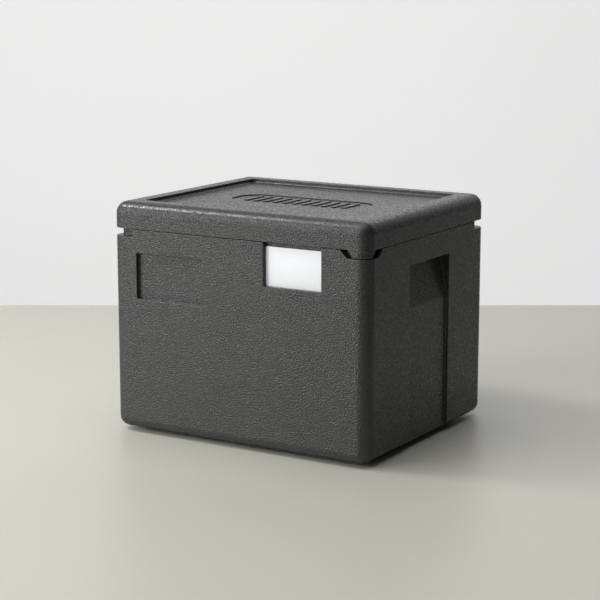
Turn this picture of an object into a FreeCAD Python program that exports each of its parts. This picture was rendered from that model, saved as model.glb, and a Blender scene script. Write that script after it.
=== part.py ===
import FreeCAD, Part
import math
import os
import re

import Sketcher

# An insulated food carrier moulded from expanded polypropylene foam: a thick-walled box for one
# half-size gastronorm pan, a lift-off lid that keys onto it, and a blank label card.
# Millimetres. Origin: centre of the base, on the surface the carrier stands on.
# +X runs along the long front face, the front faces -Y, and +Z is up.

document = FreeCAD.newDocument("InsulatedFoodCarrier")

# ---------------------------------------------------------------------------------------------
# Driving dimensions
# ---------------------------------------------------------------------------------------------

SIZES = {
    # Whole carrier, lid on
    "outer_length": 390.0,
    "outer_width": 330.0,
    "outer_height": 312.0,
    "corner_radius": 16.5,
    "wall": 26.0,
    # Body shell
    "floor_thickness": 26.5,
    "cavity_radius": 20.0,
    "cavity_floor_radius": 8.0,
    "base_round": 14.0,
    # Lip that rises from the body inside the lid's skirt
    "lip_inset": 8.8,
    "lip_height": 12.0,
    "lip_radius": 7.7,
    "lip_round": 2.0,
    # Lid
    "lid_height": 35.5,
    "lid_round_step": 0.5,
    "skirt_clearance": 0.4,
    "seam_gap": 0.6,
    "plug_depth": 5.0,
    "plug_clearance": 0.8,
    # Recess in the lid's top that the foot of another carrier stacks into
    "stack_inset": 31.0,
    "stack_depth": 6.0,
    "stack_radius": 8.0,
    "stack_floor_radius": 3.0,
    "foot_clearance": 1.5,
    "foot_gap": 1.0,
    # Grip field sunk in the middle of that recess, with upright bars
    "field_length": 206.0,
    "field_width": 69.0,
    "field_depth": 1.5,
    "field_radius": 30.0,
    "bar_count": 11.0,
    "bar_pitch": 15.2,
    "bar_width": 6.9,
    "bar_length": 45.0,
    "bar_radius": 2.8,
    # Hand recesses in the short sides, each running out into a shallow channel
    "handle_width": 111.5,
    "handle_below_seam": 32.5,
    "handle_depth": 14.5,
    "handle_slope_height": 57.0,
    "channel_depth": 4.0,
    # Plain label panel at the front left
    "label_left": 39.5,
    "label_length": 105.7,
    "label_below_seam": 31.0,
    "label_height": 61.5,
    "label_depth": 5.4,
    "label_radius": 2.0,
    # Card slot at the front right, open at the top
    "slot_right": 67.3,
    "slot_length": 85.0,
    "slot_height": 56.5,
    "slot_web": 2.3,
    "card_side_gap": 0.5,
    "card_top_gap": 5.3,
    "card_thickness": 0.8,
    "card_radius": 2.5,
    # Finger notches under the lid, front left and back right
    "notch_front": 32.7,
    "notch_side": 34.0,
    "notch_depth": 10.0,
    # Keys on the lid and the pockets they drop into, front right and back left
    "key_front": 29.7,
    "key_side": 18.7,
    "key_slope": 7.1,
    "key_gap": 1.0,
    "pocket_front_gap": 10.6,
    "pocket_side_gap": 18.4,
    "pocket_slope": 10.4,
    # Small roundings of moulded edges and inner corners
    "edge_round": 1.2,
    "seam_round": 1.0,
    "relief_round": 0.5,
    "panel_floor_round": 0.8,
    "hand_corner_round": 2.0,
    # How far cutting profiles run past the foam
    "overrun": 5.0,
}

sheet = document.addObject("Spreadsheet::Sheet", "Sizes")
for row, (alias, value) in enumerate(SIZES.items(), start=1):
    sheet.set(f"A{row}", alias)
    sheet.set(f"B{row}", str(value))
    sheet.setAlias(f"B{row}", alias)
document.recompute()

# Relations that several features share, written in the sheet's names
HALF_LENGTH = "outer_length / 2"
HALF_WIDTH = "outer_width / 2"
SEAM = "(outer_height - lid_height)"
LIP_TOP = f"({SEAM} + lip_height)"
NOTCH_FLOOR = f"({SEAM} - notch_depth)"
HAND_TOP = f"({SEAM} - handle_below_seam)"
LABEL_BOTTOM = f"({SEAM} - label_below_seam - label_height)"
SLOT_BOTTOM = f"({SEAM} - slot_height)"
SLOT_DEPTH = "(lip_inset - slot_web)"
FOOT_INSET = "(stack_inset + foot_clearance)"
FOOT_HEIGHT = "(stack_depth - foot_gap)"
SKIRT_BOTTOM = f"({SEAM} + seam_gap)"
SKIRT_INSET = "(lip_inset - skirt_clearance)"
KEY_BOTTOM = f"({NOTCH_FLOOR} + key_gap)"
PLUG_INSET = "(wall + plug_clearance)"
RECESS_FLOOR = "(outer_height - stack_depth)"

# Two places closer than this are the same place
TOUCH = 0.01


# ---------------------------------------------------------------------------------------------
# Helpers
# ---------------------------------------------------------------------------------------------

def linked(text):
    """The expression with each of the sheet's names pointing at its cell."""
    return re.sub(r"[a-z]\w*", lambda word: "Sizes." + word.group(0), text)


# A stand-alone number that takes on whatever relation is bound to it
gauge = document.addObject("App::FeaturePython", "Gauge")
gauge.addProperty("App::PropertyFloat", "Reading")


def number(text):
    """What an expression on the sheet's names comes to."""
    gauge.setExpression("Reading", linked(text))
    gauge.recompute()
    return gauge.Reading


def bind(feature, target, text):
    """Bind one property or named constraint of a feature to the sheet."""
    feature.setExpression(target, linked(text))


def new_body(label):
    body = document.addObject("PartDesign::Body", label)
    body.Label = label
    body.Placement = FreeCAD.Placement()
    return body


def origin_feature(body, role):
    return next(item for item in body.Origin.OriginFeatures if item.Role == role)


def new_sketch(body, name, plane, offset="0"):
    """A sketch on one of the body's origin planes, moved along that plane's normal."""
    sketch = body.newObject("Sketcher::SketchObject", name)
    sketch.AttachmentSupport = [(origin_feature(body, plane), "")]
    sketch.MapMode = "FlatFace"
    bind(sketch, "AttachmentOffset.Base.z", offset)
    return sketch


def pin(sketch, name, kind, geometry, point, text):
    """Hold one coordinate of a point at an expression, measured from the sketch's origin."""
    index = sketch.addConstraint(Sketcher.Constraint(kind, -1, 1, geometry, point, number(text)))
    sketch.renameConstraint(index, name)
    bind(sketch, "Constraints." + name, text)


def polygon(sketch, corners):
    """A closed outline of straight lines through corners given as pairs of expressions."""
    points = [FreeCAD.Vector(number(x), number(y), 0) for x, y in corners]
    count = len(points)
    first = sketch.GeometryCount
    for index in range(count):
        line = Part.LineSegment(points[index], points[(index + 1) % count])
        sketch.addGeometry(line, False)
    for index in range(count):
        following = first + (index + 1) % count
        sketch.addConstraint(Sketcher.Constraint("Coincident", first + index, 2, following, 1))
    for index, (x, y) in enumerate(corners):
        pin(sketch, f"x{first + index}", "DistanceX", first + index, 1, x)
        pin(sketch, f"y{first + index}", "DistanceY", first + index, 1, y)


def rounded_rectangle(sketch, left, right, bottom, top, radius):
    """A rectangle with tangent arcs at its corners, sides and radius given as expressions."""
    x0, x1, y0, y1, r = [number(text) for text in (left, right, bottom, top, radius)]
    sides = [((x0 + r, y0), (x1 - r, y0)), ((x1, y0 + r), (x1, y1 - r)),
             ((x1 - r, y1), (x0 + r, y1)), ((x0, y1 - r), (x0, y0 + r))]
    centres = [(x1 - r, y0 + r), (x1 - r, y1 - r), (x0 + r, y1 - r), (x0 + r, y0 + r)]
    first = sketch.GeometryCount
    for start, end in sides:
        sketch.addGeometry(Part.LineSegment(FreeCAD.Vector(*start, 0), FreeCAD.Vector(*end, 0)))
    for index, centre in enumerate(centres):
        circle = Part.Circle(FreeCAD.Vector(*centre, 0), FreeCAD.Vector(0, 0, 1), r)
        start_angle = (index - 1) * math.pi / 2
        sketch.addGeometry(Part.ArcOfCircle(circle, start_angle, start_angle + math.pi / 2))
    for index in range(4):
        line = first + index
        arc = first + 4 + index
        next_line = first + (index + 1) % 4
        direction = "Horizontal" if index % 2 == 0 else "Vertical"
        sketch.addConstraint(Sketcher.Constraint(direction, line))
        sketch.addConstraint(Sketcher.Constraint("Tangent", line, 2, arc, 1))
        sketch.addConstraint(Sketcher.Constraint("Tangent", arc, 2, next_line, 1))
    for arc in range(first + 5, first + 8):
        sketch.addConstraint(Sketcher.Constraint("Equal", first + 4, arc))
    pin(sketch, f"bottom{first}", "DistanceY", first, 1, bottom)
    pin(sketch, f"right{first}", "DistanceX", first + 1, 1, right)
    pin(sketch, f"top{first}", "DistanceY", first + 2, 1, top)
    pin(sketch, f"left{first}", "DistanceX", first + 3, 1, left)
    index = sketch.addConstraint(Sketcher.Constraint("Radius", first + 4, r))
    sketch.renameConstraint(index, f"radius{first}")
    bind(sketch, f"Constraints.radius{first}", radius)


def plan_rectangle(body, name, height, inset, radius):
    """A horizontal rounded rectangle, set in from the carrier's outline all round."""
    sketch = new_sketch(body, name, "XY_Plane", height)
    rounded_rectangle(sketch, f"{inset} - {HALF_LENGTH}", f"{HALF_LENGTH} - {inset}",
                      f"{inset} - {HALF_WIDTH}", f"{HALF_WIDTH} - {inset}", radius)
    return sketch


def pad(body, sketch, name, length):
    feature = body.newObject("PartDesign::Pad", name)
    feature.Profile = sketch
    bind(feature, "Length", length)
    document.recompute()
    return feature


def pocket(body, sketch, name, length, midplane=False, upward=False):
    """Cut the profile into the body, and make sure that it did remove foam."""
    before = body.Shape.Volume
    feature = body.newObject("PartDesign::Pocket", name)
    feature.Profile = sketch
    feature.Midplane = midplane
    feature.Reversed = upward
    bind(feature, "Length", length)
    document.recompute()
    if not body.Shape.Volume < before:
        raise RuntimeError(f"{name} removes nothing")
    return feature


def half_turn_pattern(body, name, originals):
    """Repeat features half a turn round the vertical axis: the carrier has no front-back order."""
    feature = body.newObject("PartDesign::PolarPattern", name)
    feature.Originals = originals
    feature.Axis = (origin_feature(body, "Z_Axis"), [""])
    feature.Angle = 360
    feature.Occurrences = 2
    body.Tip = feature
    document.recompute()
    return feature


def fillet(body, name, radius, test):
    """Round the edges of the body so far that pass the test."""
    base = body.Tip
    names = [f"Edge{index}" for index, edge in enumerate(base.Shape.Edges, start=1) if test(edge)]
    if not names:
        raise RuntimeError(f"{name} finds no edge")
    feature = body.newObject("PartDesign::Fillet", name)
    feature.Base = (base, names)
    bind(feature, "Radius", radius)
    document.recompute()
    return feature


def samples(edge):
    """Points spread along an edge, its ends included."""
    steps = 4
    reach = edge.LastParameter - edge.FirstParameter
    return [edge.valueAt(edge.FirstParameter + reach * step / steps) for step in range(steps + 1)]


def on_outline(point):
    """True for a point on the carrier's upright outer surface, corners included."""
    radius = number("corner_radius")
    past_x = abs(point.x) - number(f"{HALF_LENGTH} - corner_radius")
    past_y = abs(point.y) - number(f"{HALF_WIDTH} - corner_radius")
    if min(past_x, past_y) > 0:
        return abs(math.hypot(past_x, past_y) - radius) < TOUCH
    return abs(max(past_x, past_y) - radius) < TOUCH


def outline_edge(edge, low, high):
    """True for an edge on the outer surface that lies between two heights."""
    box = edge.BoundBox
    return (box.ZMin > low - TOUCH and box.ZMax < high + TOUCH
            and all(on_outline(point) for point in samples(edge)))


def flat_at(edge, axis, value):
    """True for an edge that lies wholly at one value along an axis (0 for X, 1 for Y, 2 for Z)."""
    box = edge.BoundBox
    low = (box.XMin, box.YMin, box.ZMin)[axis]
    high = (box.XMax, box.YMax, box.ZMax)[axis]
    return abs(low - value) < TOUCH and abs(high - value) < TOUCH


# ---------------------------------------------------------------------------------------------
# Body: block, foot, hand recesses, label panel, card slot, corner notches, lip and cavity
# ---------------------------------------------------------------------------------------------

def make_carrier_body():
    body = new_body("carrier_body")

    block = plan_rectangle(body, "BlockOutline", FOOT_HEIGHT, "0", "corner_radius")
    pad(body, block, "Block", f"{SEAM} - {FOOT_HEIGHT}")
    base_height = number(FOOT_HEIGHT)
    fillet(body, "BaseRound", "base_round", lambda edge: flat_at(edge, 2, base_height))

    foot = plan_rectangle(body, "FootOutline", "0", FOOT_INSET, "stack_radius - foot_clearance")
    pad(body, foot, "Foot", FOOT_HEIGHT)

    hand = new_sketch(body, "HandProfile", "XZ_Plane")
    polygon(hand, [
        (f"{HALF_LENGTH} + overrun", HAND_TOP),
        (f"{HALF_LENGTH} - handle_depth", HAND_TOP),
        (f"{HALF_LENGTH} - channel_depth", f"{HAND_TOP} - handle_slope_height"),
        (f"{HALF_LENGTH} - channel_depth", f"{FOOT_HEIGHT} - overrun"),
        (f"{HALF_LENGTH} + overrun", f"{FOOT_HEIGHT} - overrun"),
    ])
    hand_recess = pocket(body, hand, "HandRecess", "handle_width", midplane=True)
    half_turn_pattern(body, "HandRecesses", [hand_recess])
    side = number(HALF_LENGTH)
    hand_side = number("handle_width / 2")
    hand_top = number(HAND_TOP)
    above_base = number(f"{FOOT_HEIGHT} + base_round")

    def hand_corner(edge):
        box = edge.BoundBox
        return ((flat_at(edge, 1, hand_side) or flat_at(edge, 1, -hand_side))
                and max(-box.XMin, box.XMax) < side - TOUCH and box.ZMax - box.ZMin > TOUCH)

    fillet(body, "HandCorners", "hand_corner_round", hand_corner)
    def hand_edge(edge):
        box = edge.BoundBox
        return ((flat_at(edge, 0, side) or flat_at(edge, 0, -side))
                and max(-box.YMin, box.YMax) < hand_side + TOUCH
                and box.ZMax < hand_top + TOUCH and box.ZMin > above_base - TOUCH)

    fillet(body, "HandEdges", "edge_round", hand_edge)

    label = new_sketch(body, "LabelOutline", "XZ_Plane", HALF_WIDTH)
    label_left = f"label_left - {HALF_LENGTH}"
    rounded_rectangle(label, label_left, f"{label_left} + label_length", LABEL_BOTTOM,
                      f"{LABEL_BOTTOM} + label_height", "label_radius")
    pocket(body, label, "LabelPanel", "label_depth")
    label_floor = number(f"label_depth - {HALF_WIDTH}")
    fillet(body, "LabelFloorRound", "panel_floor_round",
           lambda edge: flat_at(edge, 1, label_floor))
    front = number(f"0 - {HALF_WIDTH}")
    label_end = number(f"{label_left} + label_length")
    label_low = number(LABEL_BOTTOM)
    fillet(body, "LabelEdges", "edge_round", lambda edge: flat_at(edge, 1, front)
           and edge.BoundBox.XMax < label_end + TOUCH and edge.BoundBox.ZMin > label_low - TOUCH)

    slot = new_sketch(body, "SlotOutline", "XZ_Plane", HALF_WIDTH)
    slot_right = f"{HALF_LENGTH} - slot_right"
    rounded_rectangle(slot, f"{slot_right} - slot_length", slot_right, SLOT_BOTTOM,
                      f"{SEAM} + overrun", "label_radius")
    pocket(body, slot, "CardSlot", SLOT_DEPTH)
    slot_start = number(f"{slot_right} - slot_length")
    slot_low = number(SLOT_BOTTOM)
    slot_end = number(slot_right)
    seam = number(SEAM)
    fillet(body, "SlotEdges", "edge_round", lambda edge: flat_at(edge, 1, front)
           and edge.BoundBox.XMin > slot_start - TOUCH and edge.BoundBox.XMax < slot_end + TOUCH
           and edge.BoundBox.ZMin > slot_low - TOUCH and edge.BoundBox.ZMax < seam + TOUCH)

    notch = new_sketch(body, "NotchOutline", "XY_Plane", SEAM)
    polygon(notch, [
        (f"0 - {HALF_LENGTH} - overrun", f"0 - {HALF_WIDTH} - overrun"),
        (f"notch_front - {HALF_LENGTH}", f"0 - {HALF_WIDTH} - overrun"),
        (f"notch_front - {HALF_LENGTH}", f"notch_side - {HALF_WIDTH}"),
        (f"0 - {HALF_LENGTH} - overrun", f"notch_side - {HALF_WIDTH}"),
    ])
    finger_notch = pocket(body, notch, "FingerNotch", "notch_depth")

    pocket_front = f"{HALF_LENGTH} - key_front - pocket_front_gap"
    front_leg = new_sketch(body, "PocketFrontProfile", "XZ_Plane", HALF_WIDTH)
    polygon(front_leg, [
        (pocket_front, SEAM),
        (f"{pocket_front} + pocket_slope", NOTCH_FLOOR),
        (f"{HALF_LENGTH} + overrun", NOTCH_FLOOR),
        (f"{HALF_LENGTH} + overrun", SEAM),
    ])
    key_pocket_front = pocket(body, front_leg, "KeyPocketFront", "lip_inset + lip_radius")

    pocket_side = f"key_side + pocket_side_gap - {HALF_WIDTH}"
    side_leg = new_sketch(body, "PocketSideProfile", "YZ_Plane", HALF_LENGTH)
    polygon(side_leg, [
        (pocket_side, SEAM),
        (f"{pocket_side} - pocket_slope", NOTCH_FLOOR),
        (f"0 - {HALF_WIDTH} - overrun", NOTCH_FLOOR),
        (f"0 - {HALF_WIDTH} - overrun", SEAM),
    ])
    key_pocket_side = pocket(body, side_leg, "KeyPocketSide", "lip_inset + lip_radius")
    half_turn_pattern(body, "CornerNotches", [finger_notch, key_pocket_front, key_pocket_side])
    notch_floor = number(NOTCH_FLOOR)
    fillet(body, "SeamEdges", "seam_round", lambda edge: outline_edge(edge, notch_floor, seam))

    lip = plan_rectangle(body, "LipOutline", NOTCH_FLOOR, "lip_inset", "lip_radius")
    pad(body, lip, "Lip", "notch_depth + lip_height")

    cavity = plan_rectangle(body, "CavityOutline", LIP_TOP, "wall", "cavity_radius")
    pocket(body, cavity, "Cavity", f"{LIP_TOP} - floor_thickness")
    cavity_floor = number("floor_thickness")
    fillet(body, "CavityFloorRound", "cavity_floor_radius",
           lambda edge: flat_at(edge, 2, cavity_floor))
    lip_top = number(LIP_TOP)
    fillet(body, "LipRound", "lip_round", lambda edge: flat_at(edge, 2, lip_top))
    return body


# ---------------------------------------------------------------------------------------------
# Lid: slab with rounded top edge, stacking recess with grip field, keys, lip groove and plug
# ---------------------------------------------------------------------------------------------

def make_lid():
    body = new_body("lid")

    slab = plan_rectangle(body, "SlabOutline", KEY_BOTTOM, "0", "corner_radius")
    pad(body, slab, "Slab", f"outer_height - {KEY_BOTTOM}")
    top = number("outer_height")
    fillet(body, "TopRound", "corner_radius - lid_round_step", lambda edge: flat_at(edge, 2, top))

    stack = plan_rectangle(body, "StackOutline", "outer_height", "stack_inset", "stack_radius")
    pocket(body, stack, "StackRecess", "stack_depth")
    recess_floor = number(RECESS_FLOOR)
    fillet(body, "StackFloorRound", "stack_floor_radius",
           lambda edge: flat_at(edge, 2, recess_floor))
    inner_reach = number(f"{HALF_LENGTH} - stack_inset") + TOUCH
    fillet(body, "StackEdgeRound", "edge_round", lambda edge: flat_at(edge, 2, top)
           and max(-edge.BoundBox.XMin, edge.BoundBox.XMax) < inner_reach)

    field = new_sketch(body, "FieldOutline", "XY_Plane", RECESS_FLOOR)
    rounded_rectangle(field, "0 - field_length / 2", "field_length / 2",
                      "0 - field_width / 2", "field_width / 2", "field_radius")
    pocket(body, field, "GripField", "field_depth")
    bar = new_sketch(body, "BarOutline", "XY_Plane", f"{RECESS_FLOOR} - field_depth")
    first_bar = "0 - (bar_count - 1) * bar_pitch / 2"
    rounded_rectangle(bar, f"{first_bar} - bar_width / 2", f"{first_bar} + bar_width / 2",
                      "0 - bar_length / 2", "bar_length / 2", "bar_radius")
    first = pad(body, bar, "Bar", "field_depth")
    row = body.newObject("PartDesign::LinearPattern", "Bars")
    row.Originals = [first]
    row.Direction = (origin_feature(body, "X_Axis"), [""])
    bind(row, "Length", "(bar_count - 1) * bar_pitch")
    bind(row, "Occurrences", "bar_count")
    body.Tip = row
    document.recompute()
    relief_reach = number("field_length / 2") + TOUCH
    fillet(body, "ReliefEdges", "relief_round", lambda edge: flat_at(edge, 2, recess_floor)
           and max(-edge.BoundBox.XMin, edge.BoundBox.XMax) < relief_reach)

    key_left = f"{HALF_LENGTH} - key_front"
    key_back = f"key_side - {HALF_WIDTH}"
    beyond_x = f"{HALF_LENGTH} + overrun"
    beyond_y = f"{HALF_WIDTH} + overrun"
    underside = new_sketch(body, "UndersideOutline", "XY_Plane", KEY_BOTTOM)
    polygon(underside, [
        (f"0 - ({beyond_x})", f"0 - ({beyond_y})"),
        (key_left, f"0 - ({beyond_y})"),
        (key_left, key_back),
        (beyond_x, key_back),
        (beyond_x, beyond_y),
        (f"0 - ({key_left})", beyond_y),
        (f"0 - ({key_left})", f"0 - ({key_back})"),
        (f"0 - ({beyond_x})", f"0 - ({key_back})"),
    ])
    pocket(body, underside, "SkirtBottom", f"{SKIRT_BOTTOM} - {KEY_BOTTOM}", upward=True)

    front_end = new_sketch(body, "KeyFrontEnd", "XZ_Plane", HALF_WIDTH)
    polygon(front_end, [
        (f"{key_left} - overrun", SKIRT_BOTTOM),
        (key_left, SKIRT_BOTTOM),
        (f"{key_left} + key_slope", KEY_BOTTOM),
        (f"{key_left} - overrun", KEY_BOTTOM),
    ])
    front_slope = pocket(body, front_end, "KeyFrontSlope", "lip_inset + lip_radius")
    side_end = new_sketch(body, "KeySideEnd", "YZ_Plane", HALF_LENGTH)
    polygon(side_end, [
        (f"{key_back} + overrun", SKIRT_BOTTOM),
        (key_back, SKIRT_BOTTOM),
        (f"{key_back} - key_slope", KEY_BOTTOM),
        (f"{key_back} + overrun", KEY_BOTTOM),
    ])
    side_slope = pocket(body, side_end, "KeySideSlope", "lip_inset + lip_radius")
    half_turn_pattern(body, "KeySlopes", [front_slope, side_slope])
    key_bottom = number(KEY_BOTTOM)
    skirt_bottom = number(SKIRT_BOTTOM)
    fillet(body, "SkirtEdges", "seam_round",
           lambda edge: outline_edge(edge, key_bottom, skirt_bottom))

    groove = plan_rectangle(body, "GrooveOutline", KEY_BOTTOM, SKIRT_INSET,
                            "lip_radius + skirt_clearance")
    pocket(body, groove, "LipGroove", f"{LIP_TOP} - {KEY_BOTTOM}", upward=True)
    plug = plan_rectangle(body, "PlugOutline", f"{LIP_TOP} - plug_depth", PLUG_INSET,
                          "cavity_radius - plug_clearance")
    pad(body, plug, "Plug", "plug_depth")
    plug_bottom = number(f"{LIP_TOP} - plug_depth")
    fillet(body, "PlugRound", "lip_round", lambda edge: flat_at(edge, 2, plug_bottom))
    return body


# ---------------------------------------------------------------------------------------------
# Blank label card, standing in the card slot against its floor
# ---------------------------------------------------------------------------------------------

def make_label_card():
    body = new_body("label_card")
    card_right = f"{HALF_LENGTH} - slot_right - card_side_gap"
    card_left = f"{HALF_LENGTH} - slot_right - slot_length + card_side_gap"
    outline = new_sketch(body, "CardOutline", "XZ_Plane", f"{HALF_WIDTH} - {SLOT_DEPTH}")
    rounded_rectangle(outline, card_left, card_right, SLOT_BOTTOM,
                      f"{SEAM} - card_top_gap", "card_radius")
    pad(body, outline, "Card", "card_thickness")
    return body


sub_parts = [make_carrier_body(), make_lid(), make_label_card()]

document.recompute()
for item in document.Objects:
    if "Invalid" in item.State or "Error" in item.State:
        raise RuntimeError(f"{item.Name} did not compute: {item.State}")
os.makedirs("parts", exist_ok=True)
for item in sub_parts:
    shape = item.Shape
    if shape.isNull() or not shape.isValid():
        raise RuntimeError(f"{item.Label} has no valid shape")
    print(f"{item.Label}: {len(shape.Solids)} solid, volume {shape.Volume / 1000:.1f} cm3")
    shape.exportStep(f"parts/{item.Label}.step")
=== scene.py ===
# %% [markdown]
# # An insulated food carrier
# The real object is a box of moulded bead foam with a loose lid and one paper card in a
# pocket. Its exact shape comes from a CAD model, so this lesson is about everything that
# the CAD model leaves out: how the foam catches the light, how its skin is pebbled, where
# it is rubbed, and how the card sits. We start by loading the CAD model as a fixed frame.
# Every piece made here is placed from that frame, so nothing has to be fitted by eye.

# %% Load the frame
import math

import bmesh
import bpy
from mathutils import Matrix, Vector


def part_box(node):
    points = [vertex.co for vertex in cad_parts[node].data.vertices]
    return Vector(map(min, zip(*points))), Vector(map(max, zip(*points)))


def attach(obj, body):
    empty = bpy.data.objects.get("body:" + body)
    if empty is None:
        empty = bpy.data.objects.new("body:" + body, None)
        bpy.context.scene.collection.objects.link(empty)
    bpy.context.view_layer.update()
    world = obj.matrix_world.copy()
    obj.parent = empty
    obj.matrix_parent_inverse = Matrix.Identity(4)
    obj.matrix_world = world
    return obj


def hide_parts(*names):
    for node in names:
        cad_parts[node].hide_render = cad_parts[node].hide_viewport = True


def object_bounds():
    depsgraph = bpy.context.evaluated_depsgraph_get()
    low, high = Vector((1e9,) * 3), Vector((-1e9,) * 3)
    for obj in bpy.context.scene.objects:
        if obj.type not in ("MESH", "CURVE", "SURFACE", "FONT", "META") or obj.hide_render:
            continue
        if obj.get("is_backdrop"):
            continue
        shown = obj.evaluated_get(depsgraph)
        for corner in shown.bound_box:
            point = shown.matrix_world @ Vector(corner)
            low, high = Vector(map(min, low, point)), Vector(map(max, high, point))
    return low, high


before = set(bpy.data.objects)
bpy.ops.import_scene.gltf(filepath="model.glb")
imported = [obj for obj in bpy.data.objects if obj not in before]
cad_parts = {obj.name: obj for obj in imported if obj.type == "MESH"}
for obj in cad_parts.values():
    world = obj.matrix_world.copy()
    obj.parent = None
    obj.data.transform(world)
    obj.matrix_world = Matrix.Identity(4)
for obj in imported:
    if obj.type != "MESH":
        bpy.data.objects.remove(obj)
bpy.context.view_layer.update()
MM = 0.001
scene = bpy.context.scene
scene.view_settings.view_transform = "Standard"
body_low, body_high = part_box("carrier_body")
lid_low, lid_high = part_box("lid")
card_low, card_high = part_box("label_card")

# %% [markdown]
# ## Writing materials as sums
# A material is a web of nodes. Wiring it by hand takes many lines, and the idea gets lost.
# The small class below wraps one output of a node, so that `1 - mask` or `a * b` adds the
# Math node for us. A second class holds one finish and has a single method that adds any
# other kind of node: its settings come first, then the values or wires of its sockets.

# %% A number on a wire
class Signal:
    """One output of a node. Sums with it add Math nodes to the same finish."""

    def __init__(self, finish, socket):
        self.finish = finish
        self.socket = socket

    def maths(self, operation, *values):
        sockets = dict(enumerate(values))
        return self.finish.node("ShaderNodeMath", {"operation": operation}, sockets)

    def __add__(self, other):
        return self.maths("ADD", self, other)

    def __sub__(self, other):
        return self.maths("SUBTRACT", self, other)

    def __rsub__(self, other):
        return self.maths("SUBTRACT", other, self)

    def __mul__(self, other):
        return self.maths("MULTIPLY", self, other)

    def __abs__(self):
        return self.maths("ABSOLUTE", self)

    __radd__ = __add__
    __rmul__ = __mul__

    def step(self, start, end):
        """0 up to start, 1 from end, and a smooth rise between them. It may fall instead."""
        settings = {"interpolation_type": "SMOOTHSTEP"}
        sockets = {"Value": self, "From Min": start, "From Max": end}
        return self.finish.node("ShaderNodeMapRange", settings, sockets)


# %% A finish and its nodes
class Finish:
    """One material, with one method that adds a node and one that mixes two colours."""

    def __init__(self, name):
        self.material = bpy.data.materials.new(name)
        self.material.use_nodes = True
        self.nodes = self.material.node_tree.nodes
        self.links = self.material.node_tree.links
        self.shader = self.nodes["Principled BSDF"]

    def put(self, socket, value):
        if isinstance(value, Signal):
            self.links.new(value.socket, socket)
        else:
            socket.default_value = value

    def node(self, kind, settings=None, sockets=None, gives=0):
        made = self.nodes.new(kind)
        for name, value in (settings or {}).items():
            setattr(made, name, value)
        for name, value in (sockets or {}).items():
            self.put(made.inputs[name], value)
        return Signal(self, made.outputs[gives])

    def blend(self, share, first, second):
        sockets = {0: share, 6: first, 7: second}
        return self.node("ShaderNodeMix", {"data_type": "RGBA"}, sockets, gives=2)

    def shade(self, **values):
        for name, value in values.items():
            self.put(self.shader.inputs[name.replace("_", " ")], value)


def noise(finish, place, size, detail=2):
    """Soft random noise, with features about size metres wide."""
    sockets = {"Vector": place, "Scale": 1 / size, "Detail": detail}
    return finish.node("ShaderNodeTexNoise", sockets=sockets)


def mosaic(finish, place, size, gives, feature="F1", **more):
    """Cells about size metres wide, given as their distance or as a colour for each cell."""
    sockets = {"Vector": place, "Scale": 1 / size, **more}
    return finish.node("ShaderNodeTexVoronoi", {"feature": feature}, sockets, gives)


def grey(level, warmth=0.0):
    """A linear grey. Warmth above 0 leans it to yellow, and below 0 to blue."""
    return (level * (1 + warmth), level, level * (1 - warmth), 1)


print("signal and finish are ready")

# %% [markdown]
# ## The foam
# The carrier is taken to be expanded polypropylene: small foam beads, steamed in a mould
# until they fuse. Seen close, the skin is a mosaic of rounded cells, about three
# millimetres wide, under a finer stipple of points that each catch the light differently.
# A Voronoi texture is exactly such a mosaic, so two of them are used, one for the beads and
# one for the points. Their domes become relief in a Bump, a fine noise adds the grain of
# the mould, and every cell gets a slightly different grey and gloss.
# Object coordinates keep the beads at one size on every face, inside and out. This lesson
# grains the long faces more deeply, and gives the ends, the top and the rims only
# SMOOTH_DEPTH of that relief, so that a rim keeps one clear highlight.

# %% Sizes and levels of the foam's skin
BEAD = 3.2 * MM
BEAD_SOFTNESS = 0.35
GRAIN = 1.6 * MM
SPECK = 2.0 * MM
CLOUD = 60 * MM
SKIN_RELIEF = 0.7 * MM
SKIN_STRENGTH = 0.95
SMOOTH_DEPTH = 0.16
PIT_SPACING = 17 * MM
PIT_RADIUS = 0.8 * MM
FOAM_GREY = 0.031
FOAM_COOLNESS = 0.012
FOAM_ROUGHNESS = 0.37
FOAM_GLOSS = 0.46
RUB_WIDTH = 9 * MM
print("beads", round(BEAD / MM, 1), "mm, points", round(SPECK / MM, 1), "mm")

# %% [markdown]
# Foam gets rubbed where the hand and the shelf meet it: along the upright corners and the
# rims. A point is near an edge when it is near two outer faces at once, so the mask is a
# product of two nearness signals, and it follows any size of box.

# %% Where the foam is rubbed
def rub_mask(finish, place, low, high):
    """1 along the outer edges of the box from low to high, fading inwards over RUB_WIDTH."""
    middle = (low + high) / 2
    half = (high - low) / 2
    centred = finish.node(
        "ShaderNodeVectorMath", {"operation": "SUBTRACT"}, {0: place, 1: middle}
    )
    apart = finish.node("ShaderNodeSeparateXYZ", sockets={0: centred})
    axes = [Signal(finish, socket) for socket in apart.socket.node.outputs]
    near = [abs(axis).step(size - RUB_WIDTH, size) for axis, size in zip(axes, half)]
    near_x, near_y, near_z = near
    return near_x * near_y + near_y * near_z + near_z * near_x


# %% The relief of the skin
def face_depth(finish):
    """1 on faces turned to the front or the back, and SMOOTH_DEPTH on all others."""
    facing = finish.node("ShaderNodeTexCoord", gives="Normal")
    sides = finish.node("ShaderNodeSeparateXYZ", sockets={0: facing}, gives="Y")
    return SMOOTH_DEPTH + abs(sides).step(0.8, 1.0) * (1 - SMOOTH_DEPTH)


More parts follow.
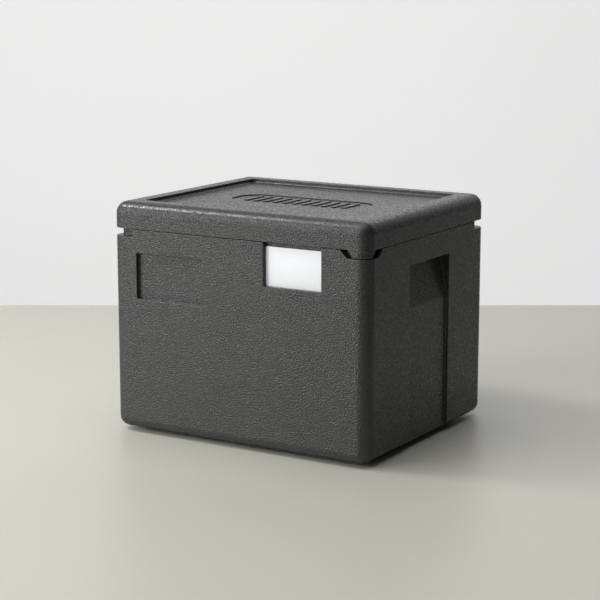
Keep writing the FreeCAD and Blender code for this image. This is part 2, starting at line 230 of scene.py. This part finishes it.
def skin_bump(finish, place, grain, pit_relief_and_shade):
    beads = mosaic(finish, place, BEAD, "Distance", "SMOOTH_F1", Smoothness=BEAD_SOFTNESS)
    domes = mosaic(finish, place, SPECK, "Distance")
    height = (grain * 0.65 - domes * 0.9 - beads * 0.2) * face_depth(finish) - pit_relief_and_shade * 2.0
    sockets = {"Height": height, "Strength": SKIN_STRENGTH, "Distance": SKIN_RELIEF}
    return finish.node("ShaderNodeBump", sockets=sockets)


# %% [markdown]
# The tone is a base level plus small shares of each pattern, so that no one of them shows
# as spots. Gloss varies more than tone does, because it is gloss that makes the points
# glitter under a low lamp and vanish on a side that the lamp doesn't reach.

# %% The foam's material
def foam_finish(name, low, high, seed):
    finish = Finish(name)
    place = finish.node("ShaderNodeTexCoord", gives="Object")
    shifted = finish.node("ShaderNodeMapping", sockets={0: place, "Location": (seed, 0, 0)})

    def cell_level(size):
        colour = mosaic(finish, shifted, size, "Color")
        return finish.node("ShaderNodeSeparateColor", sockets={0: colour})

    shade = cell_level(BEAD)
    speck = cell_level(SPECK)
    grain = noise(finish, shifted, GRAIN, 3)
    cloud = noise(finish, shifted, CLOUD)
    # Sparse pits: sunk in the bump, and darkened in tone as painted shade inside each pit
    to_pit = mosaic(finish, shifted, PIT_SPACING, "Distance")
    pit_relief_and_shade = to_pit.step(PIT_RADIUS / PIT_SPACING, 0.4 * PIT_RADIUS / PIT_SPACING)
    rubbed = rub_mask(finish, place, low, high)

    # the pits term darkens the tone inside each pit: painted shade, not a colour of the foam
    tone = 0.8 + shade * 0.14 + speck * 0.06 + cloud * 0.14 - pit_relief_and_shade * 0.6 + rubbed * 0.08
    base = grey(FOAM_GREY, -FOAM_COOLNESS)[:3]
    colour = finish.node(
        "ShaderNodeVectorMath", {"operation": "SCALE"}, {0: base, "Scale": tone}
    )
    roughness = FOAM_ROUGHNESS + (speck - 0.5) * 0.34 + (shade - 0.5) * 0.12 - rubbed * 0.04
    bump = skin_bump(finish, shifted, grain, pit_relief_and_shade)
    finish.shade(
        Base_Color=colour, Roughness=roughness, Normal=bump, Specular_IOR_Level=FOAM_GLOSS
    )
    return finish


# %% Dress the two foam pieces
for node_name, low, high, seed in (
    ("carrier_body", body_low, body_high, 0.0),
    ("lid", lid_low, lid_high, 3.7),
):
    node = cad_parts[node_name]
    node.material_slots[0].material = foam_finish(node_name + "_foam", low, high, seed).material
    print(node_name, "has", len(node.data.polygons), "faces")

# %% [markdown]
# ## The label card
# The card is a stiff white sheet, cut with round corners, that slides down into the pocket
# on the front. A perfectly flat plate looks computed, so the card's corners are rounded,
# it is cut into narrow columns, and the columns are bowed forward by under half a millimetre.

# %% Build the card
CARD_CORNER = 2.5 * MM
CARD_EDGE = 0.15 * MM
CARD_COLUMNS = 16
CARD_BOW = 0.4 * MM


def build_card():
    shape = bmesh.new()
    width, depth, height = card_high - card_low
    bmesh.ops.create_cube(shape, size=1)
    bmesh.ops.scale(shape, vec=(width, depth, height), verts=shape.verts)
    bmesh.ops.translate(shape, vec=(card_low + card_high) / 2, verts=shape.verts)
    ends = [e for e in shape.edges if abs((e.verts[0].co - e.verts[1].co).y) > depth / 2]
    bmesh.ops.bevel(
        shape, geom=ends, offset=CARD_CORNER, segments=8, profile=0.5,
        affect="EDGES", material=-1,
    )
    rims = [e for e in shape.edges if abs((e.verts[0].co - e.verts[1].co).y) < depth / 2]
    bmesh.ops.bevel(
        shape, geom=rims, offset=CARD_EDGE, segments=3, profile=0.5,
        affect="EDGES", material=-1,
    )
    for column in range(1, CARD_COLUMNS):
        cut = card_low.x + width * column / CARD_COLUMNS
        bmesh.ops.bisect_plane(
            shape, geom=shape.verts[:] + shape.edges[:] + shape.faces[:],
            plane_co=(cut, 0, 0), plane_no=(1, 0, 0),
        )
    for vert in shape.verts:
        across = 2 * (vert.co.x - card_low.x) / width - 1
        vert.co.y -= CARD_BOW * (1 - across**2)
    mesh = bpy.data.meshes.new("label_card_sheet")
    shape.to_mesh(mesh)
    shape.free()
    piece = bpy.data.objects.new("label_card_sheet", mesh)
    scene.collection.objects.link(piece)
    return piece


card = build_card()
for face in card.data.polygons:
    face.use_smooth = True
print("card:", len(card.data.polygons), "faces")

# %% The card's material
CARD_FIBRE = 0.6 * MM
CARD_CLOUD = 25 * MM


def card_finish():
    finish = Finish("card_stock")
    place = finish.node("ShaderNodeTexCoord", gives="Object")
    fibre = noise(finish, place, CARD_FIBRE, 4)
    bump = finish.node(
        "ShaderNodeBump", sockets={"Height": fibre, "Strength": 0.12, "Distance": 0.05 * MM}
    )
    cloud = noise(finish, place, CARD_CLOUD)
    colour = finish.blend(cloud, (0.83, 0.85, 0.88, 1), (0.86, 0.88, 0.91, 1))
    finish.shade(Base_Color=colour, Roughness=0.45 + fibre * 0.1, Normal=bump)
    return finish


card.data.materials.append(card_finish().material)
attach(card, "carrier")
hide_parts("label_card")

# %% [markdown]
# ## The stage
# The carrier stands on a pale table with a pale wall well behind it. The table ends a
# little way behind the object, which gives the straight line across the picture.

# %% Camera
CAMERA_PLACE = Vector((1.2211, -2.0188, 0.6337))
CAMERA_TURN = math.radians(31.221)
CAMERA_DROP = math.radians(11.108)
CAMERA_LENS = 105.84

camera_data = bpy.data.cameras.new("camera")
camera_data.lens = CAMERA_LENS
camera = bpy.data.objects.new("camera", camera_data)
camera.location = CAMERA_PLACE
camera.rotation_euler = (math.pi / 2 - CAMERA_DROP, 0, CAMERA_TURN)
scene.collection.objects.link(camera)
scene.camera = camera
print("camera stands", round(CAMERA_PLACE.length, 2), "m from the object's foot")

# %% Table and wall
TABLE_BEHIND = 0.818
TABLE_SIDE = 4.0
WALL_BEHIND = 3.2
WALL_SIZE = 9.0
turned = Matrix.Rotation(CAMERA_TURN, 4, "Z")


def stage_sheet(name, width, height, place):
    """A flat sheet, width by height, carried to place by a matrix."""
    shape = bmesh.new()
    bmesh.ops.create_grid(shape, x_segments=1, y_segments=1, size=0.5)
    bmesh.ops.scale(shape, vec=(width, height, 1), verts=shape.verts)
    bmesh.ops.transform(shape, matrix=place, verts=shape.verts)
    mesh = bpy.data.meshes.new(name)
    shape.to_mesh(mesh)
    shape.free()
    piece = bpy.data.objects.new(name, mesh)
    scene.collection.objects.link(piece)
    piece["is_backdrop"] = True
    return piece


table = stage_sheet(
    "table", 2 * TABLE_SIDE, 2 * TABLE_SIDE,
    turned @ Matrix.Translation((0, TABLE_BEHIND - TABLE_SIDE, 0)),
)
wall = stage_sheet(
    "wall", WALL_SIZE, WALL_SIZE,
    turned @ Matrix.Translation((0, WALL_BEHIND, 0)) @ Matrix.Rotation(math.pi / 2, 4, "X"),
)

# %% Stage finishes
TABLE_DRIFT = 0.7
TABLE_TOOTH = 1.5 * MM
WALL_DRIFT = 5 / 3
WALL_GLOW = 0.53


def table_finish():
    """Pale laminate: a slow drift of tone, and a fine tooth that softens reflections."""
    finish = Finish("table_top")
    place = finish.node("ShaderNodeTexCoord", gives="Object")
    drift = noise(finish, place, TABLE_DRIFT)
    tooth = noise(finish, place, TABLE_TOOTH, 3)
    colour = finish.blend(drift, (0.475, 0.47, 0.41, 1), (0.51, 0.505, 0.445, 1))
    bump = finish.node(
        "ShaderNodeBump", sockets={"Height": tooth, "Strength": 0.08, "Distance": 0.1 * MM}
    )
    finish.shade(Base_Color=colour, Roughness=0.34 + tooth * 0.12, Normal=bump)
    return finish


def wall_finish():
    """The backdrop glows evenly, and a slow drift keeps it from looking computed."""
    finish = Finish("wall_paint")
    place = finish.node("ShaderNodeTexCoord", gives="Object")
    drift = noise(finish, place, WALL_DRIFT)
    glow = finish.blend(drift, (0.97, 0.97, 0.96, 1), (1.0, 1.0, 1.0, 1))
    finish.shade(
        Base_Color=(0.80, 0.80, 0.80, 1), Roughness=0.9, Emission_Color=glow,
        Emission_Strength=WALL_GLOW,
    )
    return finish


table.data.materials.append(table_finish().material)
wall.data.materials.append(wall_finish().material)
print("table and wall are dressed")

# %% [markdown]
# ## Light
# The studio is lit the way a product table is. One large box stands low on the left and
# shines across the front, which brings out the stipple. A small one, higher and further round,
# draws the line of light along the lid's front rim. A third in front fills the shadows, a
# wide one overhead lights the table and softens the shadow on it, and a weak one behind
# keeps the far side from going black. Each box is placed by the direction it shines from,
# so that its power can be judged apart from its distance. The boxes themselves stay unseen,
# and the room looks pale where it is seen but gives hardly any light of its own, which
# keeps the right end dark.

# %% Lamps
BOX_DISTANCE = 2.4
AIM = Vector((0, 0, 0.15))


def softbox(name, heading, height, size, power):
    """A square lamp. Heading 0 is straight in front, and it turns to the right in degrees."""
    turn = math.radians(heading)
    climb = math.radians(height)
    towards = Vector((
        math.sin(turn) * math.cos(climb), -math.cos(turn) * math.cos(climb), math.sin(climb)
    ))
    light = bpy.data.lights.new(name, "AREA")
    light.shape = "SQUARE"
    light.size = size
    light.energy = power
    lamp = bpy.data.objects.new(name, light)
    lamp.location = AIM + towards * BOX_DISTANCE
    lamp.rotation_euler = (-towards).to_track_quat("-Z", "Y").to_euler()
    lamp.visible_camera = False
    scene.collection.objects.link(lamp)


LAMPS = (
    ("low_left", -40, 12, 1.1, 35),
    ("high_left", -66, 50, 0.6, 24),
    ("front", -10, 35, 1.3, 12),
    ("overhead", -20, 82, 2.2, 33),
    ("behind", -170, 45, 1.2, 5),
)
for lamp_row in LAMPS:
    softbox(*lamp_row)

ROOM_SEEN = 0.80
ROOM_LIGHT = 0.05
world = bpy.data.worlds.new("room")
world.use_nodes = True
room = world.node_tree.nodes["Background"]
room.inputs["Color"].default_value = (1, 1, 1, 1)
path = world.node_tree.nodes.new("ShaderNodeLightPath")
strength = world.node_tree.nodes.new("ShaderNodeMapRange")
strength.inputs["To Min"].default_value = ROOM_LIGHT
strength.inputs["To Max"].default_value = ROOM_SEEN
world.node_tree.links.new(path.outputs["Is Camera Ray"], strength.inputs["Value"])
world.node_tree.links.new(strength.outputs["Result"], room.inputs["Strength"])
scene.world = world
print(len(LAMPS), "softboxes,", sum(row[4] for row in LAMPS), "W")

# %% Finish
low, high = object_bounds()
